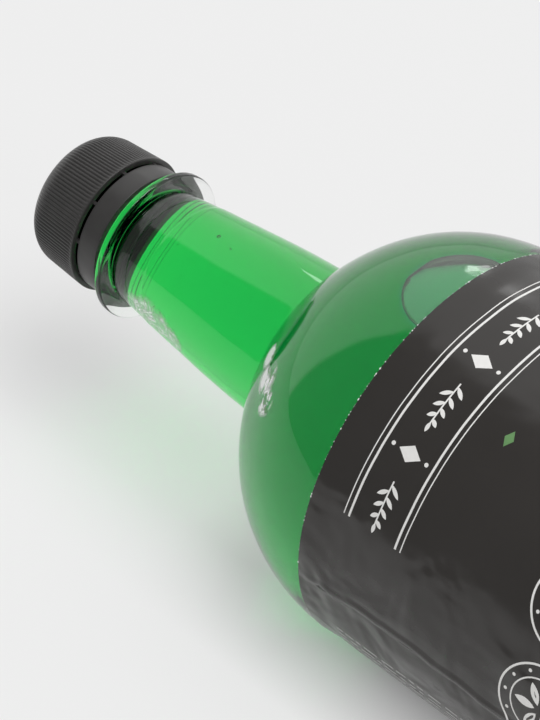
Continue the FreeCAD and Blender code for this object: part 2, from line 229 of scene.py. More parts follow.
# %% Helpers for finishes
class Finish:
    """One material and the few kinds of node that the finishes here need."""

    def __init__(self, name):
        self.material = bpy.data.materials.new(name)
        self.material.use_nodes = True
        self.nodes, self.links = self.material.node_tree.nodes, self.material.node_tree.links
        self.shader = self.nodes["Principled BSDF"]
        self.output = self.nodes["Material Output"]
        self.place = self.nodes.new("ShaderNodeTexCoord").outputs["Object"]

    def set(self, **values):
        """Feeds sockets of the main shader, each with a plain value or another node's output."""
        for name, value in values.items():
            self.feed(self.shader.inputs[name.replace("_", " ")], value)

    def uneven(self, noise, low, high):
        """A value that drifts between low and high as a noise does."""
        return self.between(noise, 0.3, 0.7, low, high)

    def feed(self, socket, value):
        if isinstance(value, bpy.types.NodeSocket):
            self.links.new(value, socket)
        else:
            socket.default_value = value

    def noise(self, scale, detail=4.0, rough=0.5, stretch=None, warp=0.0):
        node = self.nodes.new("ShaderNodeTexNoise")
        node.inputs["Scale"].default_value = scale
        node.inputs["Detail"].default_value = detail
        node.inputs["Roughness"].default_value = rough
        node.inputs["Distortion"].default_value = warp
        source = self.place
        if stretch:
            mapping = self.nodes.new("ShaderNodeMapping")
            mapping.inputs["Scale"].default_value = stretch
            self.links.new(self.place, mapping.inputs["Vector"])
            source = mapping.outputs["Vector"]
        self.links.new(source, node.inputs["Vector"])
        return node.outputs["Fac"]

    def between(self, value, low, high, to_low, to_high):
        node = self.nodes.new("ShaderNodeMapRange")
        names = ("Value", "From Min", "From Max", "To Min", "To Max")
        for name, given in zip(names, (value, low, high, to_low, to_high)):
            self.feed(node.inputs[name], given)
        return node.outputs["Result"]

    def coordinate(self, axis):
        split = self.nodes.new("ShaderNodeSeparateXYZ")
        self.links.new(self.place, split.inputs[0])
        return split.outputs[axis]

    def attribute(self, name):
        node = self.nodes.new("ShaderNodeAttribute")
        node.attribute_name = name
        return node.outputs["Fac"]

    def calc(self, operation, a, b=0.0):
        node = self.nodes.new("ShaderNodeMath")
        node.operation = operation
        self.feed(node.inputs[0], a)
        self.feed(node.inputs[1], b)
        return node.outputs["Value"]

    def blend(self, factor, a, b):
        node = self.nodes.new("ShaderNodeMix")
        node.data_type = "RGBA"
        self.feed(node.inputs["Factor"], factor)
        self.feed(node.inputs[6], a)
        self.feed(node.inputs[7], b)
        return node.outputs[2]

    def bump(self, height, depth, strength=1.0):
        node = self.nodes.new("ShaderNodeBump")
        node.inputs["Strength"].default_value = strength
        node.inputs["Distance"].default_value = depth
        self.links.new(height, node.inputs["Height"])
        self.links.new(node.outputs["Normal"], self.shader.inputs["Normal"])

    def near(self, centre, reach):
        """1 at a point of the frame, falling to 0 at reach."""
        node = self.nodes.new("ShaderNodeVectorMath")
        node.operation = "DISTANCE"
        self.links.new(self.place, node.inputs[0])
        node.inputs[1].default_value = centre
        return self.between(node.outputs["Value"], 0.0, reach, 1.0, 0.0)


print("a finish can", ", ".join(name for name in vars(Finish) if name[0] != "_"))

# %% [markdown]
# The bottle is blown from clear plastic: thin in the body, thick at the neck and the mouth. Its outside and
# its inside are two different curves, and the light bends at both, so it is made as one closed skin that
# goes up the outside, over the mouth and down the inside. Each outline is a few arcs and straight runs,
# whose corners are rounded afterwards.

# %% Outside of the bottle
HOLLOW_HEIGHT, HOLLOW_CURVE = 10.0, 54.613  # the dished base: its rise at the axis and its radius
FOOT_RADIUS, HEEL_FOOT = 31.5, 33.75  # the ring that the bottle stands on
HEEL_TOP = 8.0
PANEL_RADIUS, PANEL_TOP = 41.22, 164.3
SHOULDER_FOOT, SHOULDER_CENTRE = (164.8, 41.742), (164, 2.2)
NECK_FOOT, NECK_CONE, NECK_CURVE = (200.68, 17.0), (223.98, 15.25), 260
FINISH_RADIUS, BEAD_RADIUS, RING_RADIUS = 12.3, 13.1, 16.5
RING_X, MOUTH_X = 245.976, 267.976
LONGEST_RUN = 1.6  # no straight run of an outline is longer than this


def outside_outline():
    rims = [(13.0, BUMPER_RADIUS), (13.5, PANEL_RADIUS), (PANEL_TOP, PANEL_RADIUS)]
    neck_step = [(235.98, 13.945), (236.48, 13.785)]
    ring = [(244.476, 12.75), (244.476, 13.2), (245.276, RING_RADIUS), (246.676, RING_RADIUS)]
    ring_top, bead = (246.676, FINISH_RADIUS), (251.176, BEAD_RADIUS)
    mouth = (MOUTH_X, FINISH_RADIUS)
    body = arc((HOLLOW_HEIGHT - HOLLOW_CURVE, 0), (HOLLOW_HEIGHT, 0), (0, FOOT_RADIUS), 28)
    body += arc((HEEL_TOP, HEEL_FOOT), (0, HEEL_FOOT), (HEEL_TOP, BUMPER_RADIUS), 14)
    body += rims + arc(SHOULDER_CENTRE, SHOULDER_FOOT, NECK_FOOT, 64)
    body += sweep(NECK_FOOT, NECK_CONE, NECK_CURVE, 14)[1:] + neck_step + ring
    body += [ring_top, (251.176, FINISH_RADIUS), bead, (252.576, FINISH_RADIUS), mouth]
    corners = [
        ((0, FOOT_RADIUS), 0.8), *((rim_shade, 0.25) for rim_shade in rims), (SHOULDER_FOOT, 0.3), (NECK_FOOT, 0.8),
        (NECK_CONE, 2.0), *((step, 0.3) for step in neck_step), (ring[0], 0.25), (ring[1], 0.2),
        (ring[2], 0.35), (ring[3], 0.35), (ring_top, 0.4), (bead, 0.3), (mouth, 0.4),
    ]
    for corner, reach in corners:
        body = eased(body, corner, reach)
    return body


outer = filled(outside_outline(), LONGEST_RUN)
print("outline points of the outside", len(outer))

# %% Inside of the bottle
INNER_RADIUS, BORE_RADIUS = 40.77, 10.87
BASE_WALL = 1.0
HEEL_INSIDE = 8.02
SHOULDER_INSIDE = (164.21, 1.67)


def inside_outline(grow=0.0):
    """The inside, from the base to the mouth, moved into the wall by grow."""
    rise, floor = HOLLOW_HEIGHT + BASE_WALL, BASE_WALL - grow
    radius, bore_radius = INNER_RADIUS + grow, BORE_RADIUS + grow
    foot, shoulder = (floor, FOOT_RADIUS), (SHOULDER_FOOT[0], radius)
    neck_foot, neck_cone = (200.37, 16.55 + grow), (223.98, 14.675 + grow)
    waist, bore = (231.98, 13.57 + grow), (242.98, bore_radius)
    body = arc((rise - HOLLOW_CURVE - grow, 0), (rise - grow, 0), foot, 28)
    body += arc((HEEL_INSIDE, HEEL_FOOT), (floor, HEEL_FOOT), (HEEL_INSIDE, radius), 14)
    body += arc(SHOULDER_INSIDE, shoulder, neck_foot, 64)
    body += sweep(neck_foot, neck_cone, NECK_CURVE, 14)[1:] + [waist, bore, (MOUTH_X, bore_radius)]
    corners = (
        (foot, 0.8), (shoulder, 0.8), (neck_foot, 1.4), (neck_cone, 2.5), (waist, 3.5), (bore, 3.0),
    )
    for corner, reach in corners:
        body = eased(body, corner, reach, 8)
    return body


inner = filled(inside_outline(), LONGEST_RUN)
print("outline points of the inside", len(inner))

# %% [markdown]
# Blown walls are never quite even. A slow unevenness of a few hundredths of a millimetre gives the
# wobbling edges that light shows in them. It is a sum of sines that close round the bottle, strongest in
# the blown body and gone at the moulded mouth. The outside and the inside wander in different ways.

# %% Unevenness of the blown wall
OUTSIDE_WANDER, INSIDE_WANDER = 0.022, 0.035


def faded(value, low, high):
    """0 up to low, 1 from high on, rising evenly between."""
    return np.clip((value - low) / (high - low), 0, 1)


def wavy(x, angle, phase):
    """A slow, smooth wave between -1 and 1, that closes round the bottle."""
    waves = (
        (0.21, 2, 0.6), (0.13, 3, 1.9), (0.34, 5, 4.0), (0.27, 1, 2.7), (0.52, 4, 5.3), (0.71, 7, 0.2),
    )
    total = sum(np.sin(k * x + n * angle + p + phase * (1 + 0.37 * n)) for k, n, p in waves)
    return total / len(waves)


def blown(x):
    return faded(x, 12, 20) * (1 - faded(x, 225, 243))


def outside_wander(x, a):
    return OUTSIDE_WANDER * wavy(x, a, 0.0)


def inside_wander(x, a):
    return INSIDE_WANDER * wavy(x, a, 2.0)


print("the wall wanders by up to", OUTSIDE_WANDER, "and", INSIDE_WANDER, "mm")

# %% Skin of the bottle
BASE_RIBS = 8
RIB_HEIGHT, RIB_EDGE = 0.8, 0.975
GATE_HEIGHT = 1.0
SHOULDER_START, SHOULDER_RADIUS = 160, 41.66  # the film lies over the shoulder's widest line
FLUSH = 0.02  # how far the wandering wall stays inside the packed solid
LIP_RADIUS = 11.6
BOTTLE_TURNS = 256
outer_count = len(outer)
bottle_outline = outer + [(MOUTH_X, LIP_RADIUS)] + inner[::-1]


def bottle_shape(x, r, a):
    """Base ribs, the gate, uneven blown walls and the two flat spots that the bottle lies on."""
    is_outside = np.arange(x.shape[0])[:, None] < outer_count - 1
    is_outside = np.repeat(is_outside, x.shape[1], axis=1)
    wander = np.where(is_outside, outside_wander(x, a), inside_wander(x, a))
    r = r + wander * blown(x) * faded(r, 5, 9)
    rib = np.clip((np.cos(a * BASE_RIBS) - RIB_EDGE) / (1 - RIB_EDGE), 0, 1)
    hollow = is_outside & (x < HOLLOW_HEIGHT + 0.5) & (r < FOOT_RADIUS - 1)
    height = RIB_HEIGHT * faded(r, 4.2, 5.4) * (1 - 0.75 * faded(r, 5, 29.9)) * (1 - faded(r, 29.4, 30.4))
    x = np.where(hollow, x - rib * height - GATE_HEIGHT * (1 - faded(r, 1.7, 2.3)), x)
    r = np.minimum(r, np.where(x > SHOULDER_START, SHOULDER_RADIUS, BUMPER_RADIUS - FLUSH))
    to_table = axis_z / MM
    depth = r * -np.cos(a)
    r = np.where(is_outside & (depth > to_table), to_table / np.maximum(-np.cos(a), 1e-6), r)
    return x, r


points, faces = lathe_mesh(bottle_outline, BOTTLE_TURNS, bottle_shape)
bottle = new_piece("clear_bottle", points, faces, 50)
free = np.ones(len(points))  # 1 where the plastic meets air, 0 where it meets the syrup
free[outer_count * BOTTLE_TURNS:] = 0.0
mark(bottle, "free", free)
print("clear bottle faces", len(faces))

# %% [markdown]
# The syrup fills the bottle but for a shallow air pocket along the upper wall. The filling is drawn a few
# hundredths of a millimetre into the wall, so that no air shows between the two. The air pocket is a
# closed cavity in it. A liquid this thick clings to plastic, so the pocket has a steep rounded edge all
# round, like a flat bubble under a ceiling: the edge rounds off in a quarter circle from the wall down to
# the level surface. How far each point is from the edge comes from a search tree of points along it.

# %% Outline of the filling
INTO_WALL = 0.08
FILL_TOP = MOUTH_X - 0.4
fill_outline = inside_outline(INTO_WALL)[:-1] + [(FILL_TOP, BORE_RADIUS + INTO_WALL), (FILL_TOP, 0.0)]
fill_outline = filled(fill_outline, LONGEST_RUN)


def fill_shape(x, r, a):
    return x, r + inside_wander(x, a) * blown(x) * faded(r, 5, 9)


print("outline points of the filling", len(fill_outline))

# %% Where the air pocket ends
LEVEL = 39.12
FILM = 0.04  # what clings to the wall above the pocket


def inside_radius(x, a):
    """Radius of the inside at any place beyond the base, for what lies against it."""
    grid = np.array(inner)
    grid = grid[np.argsort(grid[:, 0], kind="stable")]
    grid = grid[(grid[:, 1] > 33) | (grid[:, 0] > 20)]
    return np.interp(x, grid[:, 0], grid[:, 1]) + inside_wander(x, a) * blown(x)


def half_width(x):
    """Half the width of the level surface, from wall to wall."""
    radius = inside_radius(x, 0 * x) - FILM
    return np.sqrt(np.maximum(radius ** 2 - LEVEL ** 2, 0))


def pocket_edge(x):
    return half_width(x) * 0.985 + 0.02


tried = np.linspace(3.0, 185.0, 400)
tried = tried[half_width(tried) > 0]
pocket_start, pocket_end = tried[0], tried[-1]
print("air pocket from", round(pocket_start, 1), "to", round(pocket_end, 1))

# %% Skin of the air pocket
RIM_WIDTH, RIM_DEPTH = 0.55, 0.75
RIM_SHADE_FULL = 0.25  # up to here from the edge a point gets the full painted shade
ACROSS = 64  # columns from one side of the pocket to the other
ROUND_START = 40  # over this length from the first tip the cross rows open out
STRAIGHT_END = 158  # from here on they close up towards the other tip


def edge_finder(x_rows):
    """A search tree of points along the pocket's edge."""
    along = np.interp(np.linspace(0, len(x_rows) - 1, 4000), np.arange(len(x_rows)), x_rows)
    tree = KDTree(len(along))
    for k, (x, y) in enumerate(zip(along, pocket_edge(along))):
        tree.insert((x, y, 0.0), k)
    tree.balance()
    return tree


def pocket_rows(start, end):
    """Where the cross rows stand, close together near the tips."""
    spread = 1 - np.cos(np.linspace(0, math.pi / 2, 51))
    straight = np.linspace(start + ROUND_START, STRAIGHT_END, 26)[1:]
    return np.concatenate([
        start + ROUND_START * spread, straight, end - (end - STRAIGHT_END) * spread[::-1][1:],
    ])


def air_pocket(start, end):
    """Closed skin of the pocket: an upper face along the wall and a lower face on the level."""
    x_rows = pocket_rows(start, end)
    edge = edge_finder(x_rows)
    x = np.repeat(x_rows[1:-1, None], ACROSS + 1, axis=1)
    y = pocket_edge(x_rows)[1:-1, None] * np.sin(np.linspace(-math.pi / 2, math.pi / 2, ACROSS + 1))
    gap = np.array([[edge.find((p, abs(q), 0.0))[2] for p, q in zip(*row)] for row in zip(x, y)])
    angle = np.arcsin(np.clip(y / (inside_radius(x, 0 * x) - FILM), -1, 1))
    roof = (inside_radius(x, angle) - FILM) * np.cos(angle)
    rounding = np.sqrt(1 - (1 - faded(gap, 0.0, RIM_WIDTH)) ** 2)
    floor = roof - np.maximum(roof - LEVEL, 0.0) - RIM_DEPTH * rounding
    upper, lower = (np.stack([foot_x + x * MM, y * MM, axis_z + z * MM], -1) for z in (roof, floor))
    # weight of the painted shade at the pocket's edge
    rim_shade = 1 - faded(gap, RIM_SHADE_FULL, RIM_WIDTH)
    points = np.vstack([np.vstack([u, d[1:-1][::-1]]) for u, d in zip(upper, lower)])
    weight = np.concatenate([np.concatenate([w, w[1:-1][::-1]]) for w in rim_shade] + [[1.0, 1.0]])
    ring, rows = 2 * ACROSS, len(x)
    faces = []
    for i in range(rows - 1):
        a, b = i * ring, (i + 1) * ring
        faces += [(a + j, a + (j + 1) % ring, b + (j + 1) % ring, b + j) for j in range(ring)]
    for tip, (x, base) in enumerate(((start, 0), (end, (rows - 1) * ring)), len(points)):
        height = min(inside_radius(np.array([x]), np.zeros(1))[0] - FILM, LEVEL)
        points = np.vstack([points, [foot_x + x * MM, 0.0, axis_z + height * MM]])
        for j in range(ring):
            here, beside = base + j, base + (j + 1) % ring
            faces.append((tip, here, beside) if base else (tip, beside, here))
    return points, faces, weight


air_points, air_faces, rim_shade_weight = air_pocket(pocket_start, pocket_end)
if signed_volume(air_points, air_faces) > 0:
    air_faces = turned_over(air_faces)
print("air pocket faces", len(air_faces))

# %% [markdown]
# A few tiny air bubbles hang in the syrup under the neck's upper wall. They are the same small ball again
# and again, so Geometry Nodes puts one on each point of a list, as large as the point's own size says.
# They become cavities of the filling, because a bubble is a place where there is no syrup.

# %% Helpers for Geometry Nodes
SOCKETS = {
    "geometry": "NodeSocketGeometry", "length": "NodeSocketFloat", "count": "NodeSocketInt",
    "material": "NodeSocketMaterial",
}


class Tree:
    """A Geometry Nodes tree with named inputs."""

    def __init__(self, name, **inputs):
        self.tree = bpy.data.node_groups.new(name, "GeometryNodeTree")
        face = self.tree.interface
        face.new_socket("Geometry", in_out="INPUT", socket_type=SOCKETS["geometry"])
        self.keys = {}
        for label, kind in inputs.items():
            title = label.replace("_", " ").capitalize()
            self.keys[label] = face.new_socket(title, in_out="INPUT", socket_type=SOCKETS[kind]).identifier
        face.new_socket("Geometry", in_out="OUTPUT", socket_type=SOCKETS["geometry"])
        self.start = self.tree.nodes.new("NodeGroupInput")
        self.end = self.tree.nodes.new("NodeGroupOutput")
        self.geometry = self.start.outputs["Geometry"]

    def input(self, label):
        return self.start.outputs[label.replace("_", " ").capitalize()]

    def add(self, kind, settings=None, out=0, **values):
        """A node with its settings and inputs, each input by name or, as _0, by number."""
        node = self.tree.nodes.new(kind)
        for key, value in (settings or {}).items():
            setattr(node, key, value)
        for key, value in values.items():
            socket = node.inputs[int(key[1:])] if key[0] == "_" else node.inputs[key.replace("_", " ")]
            if isinstance(value, bpy.types.NodeSocket):
                self.tree.links.new(value, socket)
            else:
                socket.default_value = value
        return node.outputs[out]

    def calc(self, operation, a, b=0.0):
        return self.add("ShaderNodeMath", {"operation": operation}, _0=a, _1=b)

    def total(self, first, *others):
        for other in others:
            first = self.calc("ADD", first, other)
        return first

    def product(self, first, *others):
        for other in others:
            first = self.calc("MULTIPLY", first, other)
        return first

    def vector(self, x, y, z):
        return self.add("ShaderNodeCombineXYZ", X=x, Y=y, Z=z)

    def parts_of(self, vector):
        split = self.add("ShaderNodeSeparateXYZ", Vector=vector).node
        return [split.outputs[i] for i in range(3)]

    def ramp(self, value, low, high, top=1.0, **settings):
        """0 at low, rising to top at high, and held beyond both."""
        return self.add(
            "ShaderNodeMapRange", {"clamp": True, **settings}, Value=value, From_Min=low, From_Max=high,
            To_Max=top,
        )

    def finish(self, geometry):
        real = self.add("GeometryNodeRealizeInstances", Geometry=geometry)
        painted = self.add("GeometryNodeSetMaterial", Geometry=real, Material=self.input("finish"))
        self.tree.links.new(painted, self.end.inputs["Geometry"])

    def grow(self, piece, **values):
        """Runs the tree on a piece and leaves the result as its plain mesh."""
        modifier = piece.modifiers.new(self.tree.name, "NODES")
        modifier.node_group = self.tree
        for label, value in values.items():
            modifier[self.keys[label]] = value
        made = piece.evaluated_get(bpy.context.evaluated_depsgraph_get())
        mesh = bpy.data.meshes.new_from_object(made)
        piece.modifiers.remove(modifier)
        piece.data = mesh
        mesh.name = piece.name
        return piece


print("a tree can", ", ".join(name for name in vars(Tree) if name[0] != "_"))

# %% Tiny bubbles in the syrup
def bubble_tree():
    t = Tree("tiny bubbles", finish="material")
    size = t.add("GeometryNodeInputNamedAttribute", {"data_type": "FLOAT"}, Name="size")
    ball = t.add("GeometryNodeMeshIcoSphere", Radius=1.0, Subdivisions=3)
    balls = t.add("GeometryNodeInstanceOnPoints", Points=t.geometry, Instance=ball, Scale=size)
    t.finish(balls)
    return t


def at(x, r, degrees):
    """One place in the frame, in metres."""
    return placed(np.array(x), np.array(r), math.radians(degrees)).tolist()


# distance down from the support ring, radius, angle in degrees, size; all lengths in mm
BUBBLES = [
    (18.5, 13.5, 0, 0.40), (23.1, 14.0, 5, 0.22), (18.0, 13.4, 45, 0.13), (33.5, 14.3, -8, 0.10),
    (28.0, 13.8, 30, 0.09), (40.2, 15.0, 20, 0.12), (12.5, 11.9, 25, 0.12), (26.0, 13.9, 62, 0.10),
]
bubbles = raw_piece("bubble_points", [at(RING_X - down, r, turn) for down, r, turn, size in BUBBLES])
mark(bubbles, "size", [size * MM for *_, size in BUBBLES])
bubble_tree().grow(bubbles)
ball_points = np.array([v.co for v in bubbles.data.vertices])
ball_faces = [tuple(reversed(p.vertices)) for p in bubbles.data.polygons]
bpy.data.objects.remove(bubbles)
print("tiny bubbles", len(BUBBLES))

# %% [markdown]
# Now the filling is put together. Its points carry three numbers for the finish. "free" is 1 where the
# syrup meets air and 0 where it wets the plastic. "tint" says how green the surface itself is: fully at
# the wall, hardly over the air pocket, a little on the cavities. The third marks the pocket's edge, where a
# dark painted shade stands in for the dark outline that the steep edge shows.

# %% The filling, with its cavities
FILL_TURNS = 256
CAVITY_TINT, POCKET_LOSS = 0.35, 0.85
points, faces = lathe_mesh(fill_outline, FILL_TURNS, fill_shape)
if signed_volume(points, faces) < 0:
    faces = turned_over(faces)
shell_count = len(points)
points, faces = joined([(points, faces), (air_points, air_faces), (ball_points, ball_faces)])
syrup = new_piece("green_syrup", points, faces, 50)
on_shell = np.arange(len(points)) < shell_count
above_level = faded((points[:, 2] - axis_z) / MM - INTO_WALL - FILM - LEVEL, -0.12, 0.12)
mark(syrup, "free", ~on_shell)
mark(syrup, "tint", np.where(on_shell, 1 - POCKET_LOSS * above_level, CAVITY_TINT))
# the pocket's edge is marked for a painted shade
mark(syrup, "rim_shade", np.concatenate([np.zeros(shell_count), rim_shade_weight, np.zeros(len(ball_points))]))
print("filling faces", len(faces))

# %% [markdown]
# The closure is one moulding of black plastic: a skirt with fine ribs, and under it a smooth tamper band
# that hangs on thin bridges. The ribs are one groove repeated round the skirt, so Geometry Nodes cuts
# them: every point of the turned blank is pulled in by how near it is to the middle of a groove.

# %% The ribbed closure
RIBS = 120
CAP_TOP, CAP_CORNER = 269.976, 5.5
SKIRT_X, SKIRT_RADIUS, SKIRT_INSIDE = 254.926, 15.34, 13.85
GROOVE_RUN_IN, GROOVE_RUN_OUT = 0.5, 2.6  # lengths over which a groove gets its depth and loses it
CROWN = 4.5  # near the top the grooves may reach further in than SKIRT_OUTSIDE
SKIRT_OUTSIDE = 14.0


def cap_outline():
    x, r = CAP_TOP - CAP_CORNER, 9.25
    body = [(CAP_TOP, 0.0)] + arc((x, r), (CAP_TOP, r), (x, r + CAP_CORNER), 14)
    body += [(SKIRT_X, SKIRT_RADIUS), (SKIRT_X, SKIRT_INSIDE)]
    body += [(266.6, SKIRT_INSIDE), (MOUTH_X, 12.45), (MOUTH_X, 0.0)]
    for corner, reach in (((SKIRT_X, SKIRT_RADIUS), 0.28), ((SKIRT_X, SKIRT_INSIDE), 0.2)):
        body = eased(body, corner, reach, 4)
    return filled(body, 0.9)


def rib_tree():
    t = Tree(
        "ribbed skirt", rib_count="count", groove_depth="length", groove_width="length",
        skirt_edge="length", rib_end="length", axis_height="length", finish="material",
    )
    x, y, z = t.parts_of(t.add("GeometryNodeInputPosition"))
    up = t.calc("SUBTRACT", z, t.input("axis_height"))
    radius = t.calc("SQRT", t.total(t.product(y, y), t.product(up, up)))
    # how far a point is from the middle of the nearest groove, along the skirt; the whole number that is
    # added keeps the turn positive, and the half puts a groove's middle on each step
    turn = t.calc("DIVIDE", t.calc("ARCTAN2", y, up), 2 * math.pi)
    phase = t.calc("FRACT", t.total(t.product(turn, t.input("rib_count")), 1000.5))
    pitch = t.calc("DIVIDE", t.product(radius, 2 * math.pi), t.input("rib_count"))
    off = t.product(t.calc("ABSOLUTE", t.calc("SUBTRACT", phase, 0.5)), pitch)
    near = t.calc("SUBTRACT", 1.0, t.calc("DIVIDE", off, t.calc("DIVIDE", t.input("groove_width"), 2.0)))
    near = t.calc("MAXIMUM", near, 0.0)
    edge, end = t.input("skirt_edge"), t.input("rib_end")
    low = t.ramp(x, edge, t.total(edge, GROOVE_RUN_IN * MM))
    high = t.ramp(x, end, t.calc("SUBTRACT", end, GROOVE_RUN_OUT * MM))
    outside = t.calc("GREATER_THAN", radius, SKIRT_OUTSIDE * MM)
    crown = t.calc("GREATER_THAN", x, t.calc("SUBTRACT", end, CROWN * MM))
    pull = t.product(near, t.input("groove_depth"), t.product(low, high, t.calc("MAXIMUM", outside, crown)))
    share = t.calc("DIVIDE", t.product(pull, -1.0), t.calc("MAXIMUM", radius, MM))
    offset = t.vector(0.0, t.product(y, share), t.product(up, share))
    t.finish(t.add("GeometryNodeSetPosition", Geometry=t.geometry, Offset=offset))
    return t


plastic = Finish("black plastic")
cap = new_piece("ribbed_cap", *lathe_mesh(cap_outline(), RIBS * 6), 35)
rib_tree().grow(
    cap, rib_count=RIBS, groove_depth=0.32 * MM, groove_width=0.5 * MM,
    skirt_edge=foot_x + (SKIRT_X + 0.2) * MM, rib_end=foot_x + 268.4 * MM, axis_height=axis_z,
    finish=plastic.material,
)
print("closure faces", len(cap.data.polygons))

# %% The tamper band and its bridges
BRIDGES = 10
BAND_RADIUS, BAND_TOP, BAND_FOOT = 14.4, 254.076, 248.976
BEAD_INSIDE, BAND_INSIDE = 12.65, 13.3


def bridge_tree():
    t = Tree(
        "bridges", bridge_count="count", bridge_radius="length", slit_middle="length", axis_height="length",
        bridge_width="length", bridge_length="length", bridge_depth="length", finish="material",
    )
    size = t.vector(t.input("bridge_length"), t.input("bridge_width"), t.input("bridge_depth"))
    radius, count = t.input("bridge_radius"), t.input("bridge_count")
    brick = t.add("GeometryNodeMeshCube", Size=size)
    circle = t.add("GeometryNodeMeshCircle", Vertices=count, Radius=radius)
    turn = t.product(t.add("GeometryNodeInputIndex"), t.calc("DIVIDE", 2 * math.pi, count))
    height = t.total(t.product(t.calc("COSINE", turn), radius), t.input("axis_height"))
    sit = t.vector(t.input("slit_middle"), t.product(t.calc("SINE", turn), radius), height)
    spots = t.add("GeometryNodeSetPosition", Geometry=circle, Position=sit)
    tilt = t.vector(t.product(turn, -1.0), 0.0, 0.0)
    t.finish(t.add("GeometryNodeInstanceOnPoints", Points=spots, Instance=brick, Rotation=tilt))
    return t


band_outline = [
    (BAND_TOP, BAND_RADIUS), (BAND_FOOT, BAND_RADIUS), (BAND_FOOT, BEAD_INSIDE), (249.9, BEAD_INSIDE),
    (250.5, BAND_INSIDE), (BAND_TOP, BAND_INSIDE),
]
for corner in band_outline[:2]:  # the last point goes before the first, so that the first has a corner too
    band_outline = eased([band_outline[-1]] + band_outline, corner, 0.2, 4)[1:]
band = new_piece("tamper_band", *lathe_mesh(filled(band_outline, 1.0), 180, ring=True), 30)
bridges = raw_piece("cap_bridges", [])
bridge_tree().grow(
    bridges, bridge_count=BRIDGES, bridge_radius=13.9 * MM, slit_middle=foot_x + 254.5 * MM,
    axis_height=axis_z, bridge_width=0.73 * MM, bridge_length=1.3 * MM, bridge_depth=0.7 * MM,
    finish=plastic.material,
)
print("band and bridge faces", len(band.data.polygons), len(bridges.data.polygons))

# %% [markdown]
# The label is one strip of thin black film, wrapped round the panel and glued where its ends overlap. It
# is cut flat and printed flat, so it is made flat here too: a thin sheet whose length goes round the
# bottle. One Geometry Nodes tree then bends the sheet, and everything printed on it, round the bottle,
# with the shallow waves and puckers that such a film has. Sheet and print meet the same waves. At its
# upper end the film rides over the panel's step, and one long low fold wanders along its side.

# %% Bending flat pieces round the bottle
LABEL_START, LABEL_END = 13.8, 165.0
STEP_START, STEP_RISE = 159.6, 0.38  # from here the film rises over the panel's step
WIDEST = 41.73  # nothing of the label reaches further out
FOLD_ANGLE, FOLD_WIDTH, FOLD_HEIGHT, FOLD_WOBBLE = 91.0, 1.3, 0.36, 7.5
FILM_RADIUS = 41.34
WAVE = 0.26
HELD_START, HELD_END = 6.0, 9.0  # lengths at both ends over which the waves grow
SEAM_ANGLE = -140.0
LAP = 9.0


def wrap_tree():
    t = Tree(
        "film round the bottle", radius="length", axis_height="length", wave_height="length",
        first_x="length", last_x="length", step_x="length", step_rise="length", widest="length",
        fold_place="length", fold_width="length", fold_height="length", fold_wobble="length",
        finish="material",
    )
    x, along, height = t.parts_of(t.add("GeometryNodeInputPosition"))
    first, last, axis_height = t.input("first_x"), t.input("last_x"), t.input("axis_height")
    angle = t.calc("DIVIDE", along, t.input("radius"))
    sine, cosine = t.calc("SINE", angle), t.calc("COSINE", angle)

    def waves(scale_x, scale_round, detail, shift):
        """A noise that closes round the bottle, because it is read on a circle."""
        beside, above = t.product(sine, scale_round), t.product(cosine, scale_round)
        spot = t.vector(t.product(x, scale_x), beside, t.total(above, shift))
        return t.add("ShaderNodeTexNoise", Vector=spot, Scale=1.0, Detail=detail, Roughness=0.45)

    mixed = t.total(t.product(waves(38.0, 2.1, 1.5, 3.0), 0.7), t.product(waves(90.0, 6.5, 2.0, 11.0), 0.3))
    near_end = t.ramp(x, last, t.calc("SUBTRACT", last, HELD_END * MM))
    held = t.product(t.ramp(x, first, t.total(first, HELD_START * MM)), near_end)
    upper = t.calc("GREATER_THAN", height, -0.05 * MM)  # the face of the film, not its back
    lift = t.product(t.product(t.ramp(mixed, 0.38, 0.66), held), t.product(t.input("wave_height"), upper))
    smooth = {"interpolation_type": "SMOOTHSTEP"}
    drift = t.add("ShaderNodeTexNoise", Vector=t.vector(x, 0.5, 2.0), Scale=75.0, Detail=2.0)
    wander = t.product(t.calc("SUBTRACT", drift, 0.5), t.input("fold_wobble"))
    off = t.calc("ABSOLUTE", t.calc("SUBTRACT", along, t.total(t.input("fold_place"), wander)))
    fold = t.ramp(off, t.input("fold_width"), 0.0, t.input("fold_height"), **smooth)
    step_end = t.calc("SUBTRACT", last, 0.1 * MM)
    step = t.ramp(x, t.input("step_x"), step_end, t.input("step_rise"), **smooth)
    radius = t.total(t.input("radius"), height, lift, step, t.product(fold, upper, near_end))
    radius = t.calc("MINIMUM", radius, t.input("widest"))
    above_table = t.calc("MAXIMUM", t.total(t.product(radius, cosine), axis_height), 0.0)
    bent = t.vector(x, t.product(radius, sine), above_table)
    t.finish(t.add("GeometryNodeSetPosition", Geometry=t.geometry, Position=bent))
    return t


wrap = wrap_tree()


def wrapped(piece, finish):
    wrap.grow(
        piece, radius=FILM_RADIUS * MM, axis_height=axis_z, wave_height=WAVE * MM,
        first_x=foot_x + LABEL_START * MM, last_x=foot_x + LABEL_END * MM,
        step_x=foot_x + STEP_START * MM, step_rise=STEP_RISE * MM, widest=WIDEST * MM,
        fold_place=round_length(FOLD_ANGLE) * MM, fold_width=FOLD_WIDTH * MM,
        fold_height=FOLD_HEIGHT * MM, fold_wobble=FOLD_WOBBLE * MM, finish=finish.material,
    )
    return smoothed(piece)


def round_length(degrees):
    """Length round the bottle, from its top, in mm."""
    return math.radians(degrees) * FILM_RADIUS


print("label length and width in mm", round(round_length(360 + LAP)), round(LABEL_END - LABEL_START))

# %% The film itself
EDGE_ROUNDING = 0.06
FACE_HEIGHT, BACK_HEIGHT, EDGE_DROP = -0.02, -0.115, -0.05
LAP_RISE = 0.125  # how far the upper end of the film stands over the lower one


